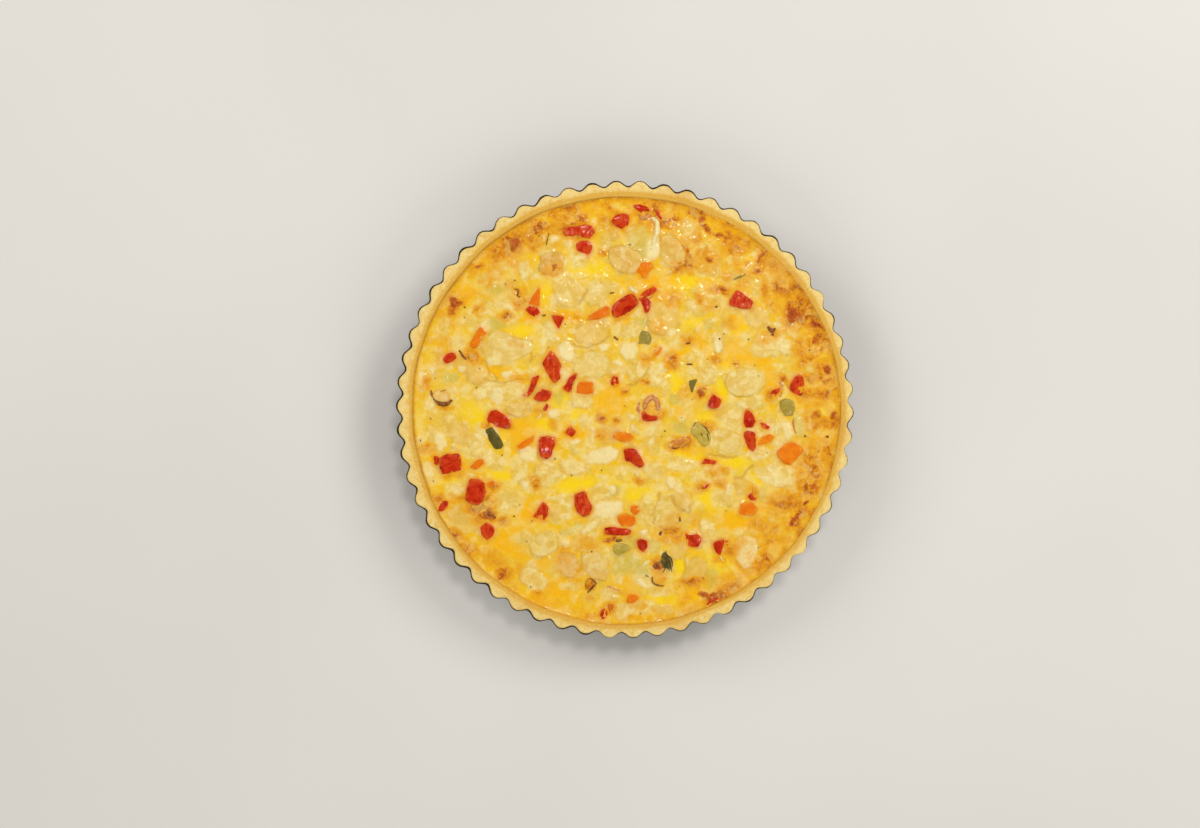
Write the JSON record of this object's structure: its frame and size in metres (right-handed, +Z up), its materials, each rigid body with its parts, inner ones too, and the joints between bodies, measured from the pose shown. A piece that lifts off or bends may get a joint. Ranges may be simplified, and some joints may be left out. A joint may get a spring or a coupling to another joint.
{
  "type": "chicken quiche in a fluted tin",
  "caption": "Round chicken and vegetable quiche: browned egg filling with diced peppers and carrots in a thin pastry case, in its fluted tart tin.",
  "frame": {"origin": "centre of the tin's underside, on the surface it stands on", "axes": "+Z up out of the tin; X and Y across it, with +Y away from the viewer of the top"},
  "size_m": [0.25, 0.2498, 0.0319],
  "materials": {
    "tin": "dark non-stick coated sheet steel",
    "crust": "baked shortcrust pastry, golden, matt",
    "filling": "baked egg and cheese filling, golden with browned spots",
    "pepper": "cooked red pepper, glossy",
    "carrot": "cooked carrot, soft sheen",
    "green": "cooked green pepper and leek",
    "chicken": "baked chicken and potato under a thin skin of egg"
  },
  "bodies": {
    "root": {"tin": "tin", "crust": "crust", "filling": "filling", "pepper_01": "pepper", "pepper_02": "pepper", "pepper_03": "pepper", "pepper_04": "pepper", "pepper_05": "pepper", "pepper_06": "pepper", "pepper_07": "pepper", "pepper_08": "pepper", "pepper_09": "pepper", "pepper_10": "pepper", "pepper_11": "pepper", "pepper_12": "pepper", "pepper_13": "pepper", "pepper_14": "pepper", "pepper_15": "pepper", "pepper_16": "pepper", "pepper_17": "pepper", "pepper_18": "pepper", "pepper_19": "pepper", "pepper_20": "pepper", "pepper_21": "pepper", "pepper_22": "pepper", "pepper_23": "pepper", "pepper_24": "pepper", "carrot_01": "carrot", "carrot_02": "carrot", "carrot_03": "carrot", "carrot_04": "carrot", "carrot_05": "carrot", "carrot_06": "carrot", "carrot_07": "carrot", "carrot_08": "carrot", "carrot_09": "carrot", "carrot_10": "carrot", "carrot_11": "carrot", "carrot_12": "carrot", "green_01": "green", "green_02": "green", "green_03": "green", "green_04": "green", "chicken_01": "chicken", "chicken_02": "chicken", "chicken_03": "chicken", "chicken_04": "chicken", "chicken_05": "chicken", "chicken_06": "chicken", "chicken_07": "chicken", "chicken_08": "chicken", "chicken_09": "chicken", "chicken_10": "chicken", "chicken_11": "chicken", "chicken_12": "chicken", "chicken_13": "chicken", "chicken_14": "chicken"}
  },
  "joints": []
}
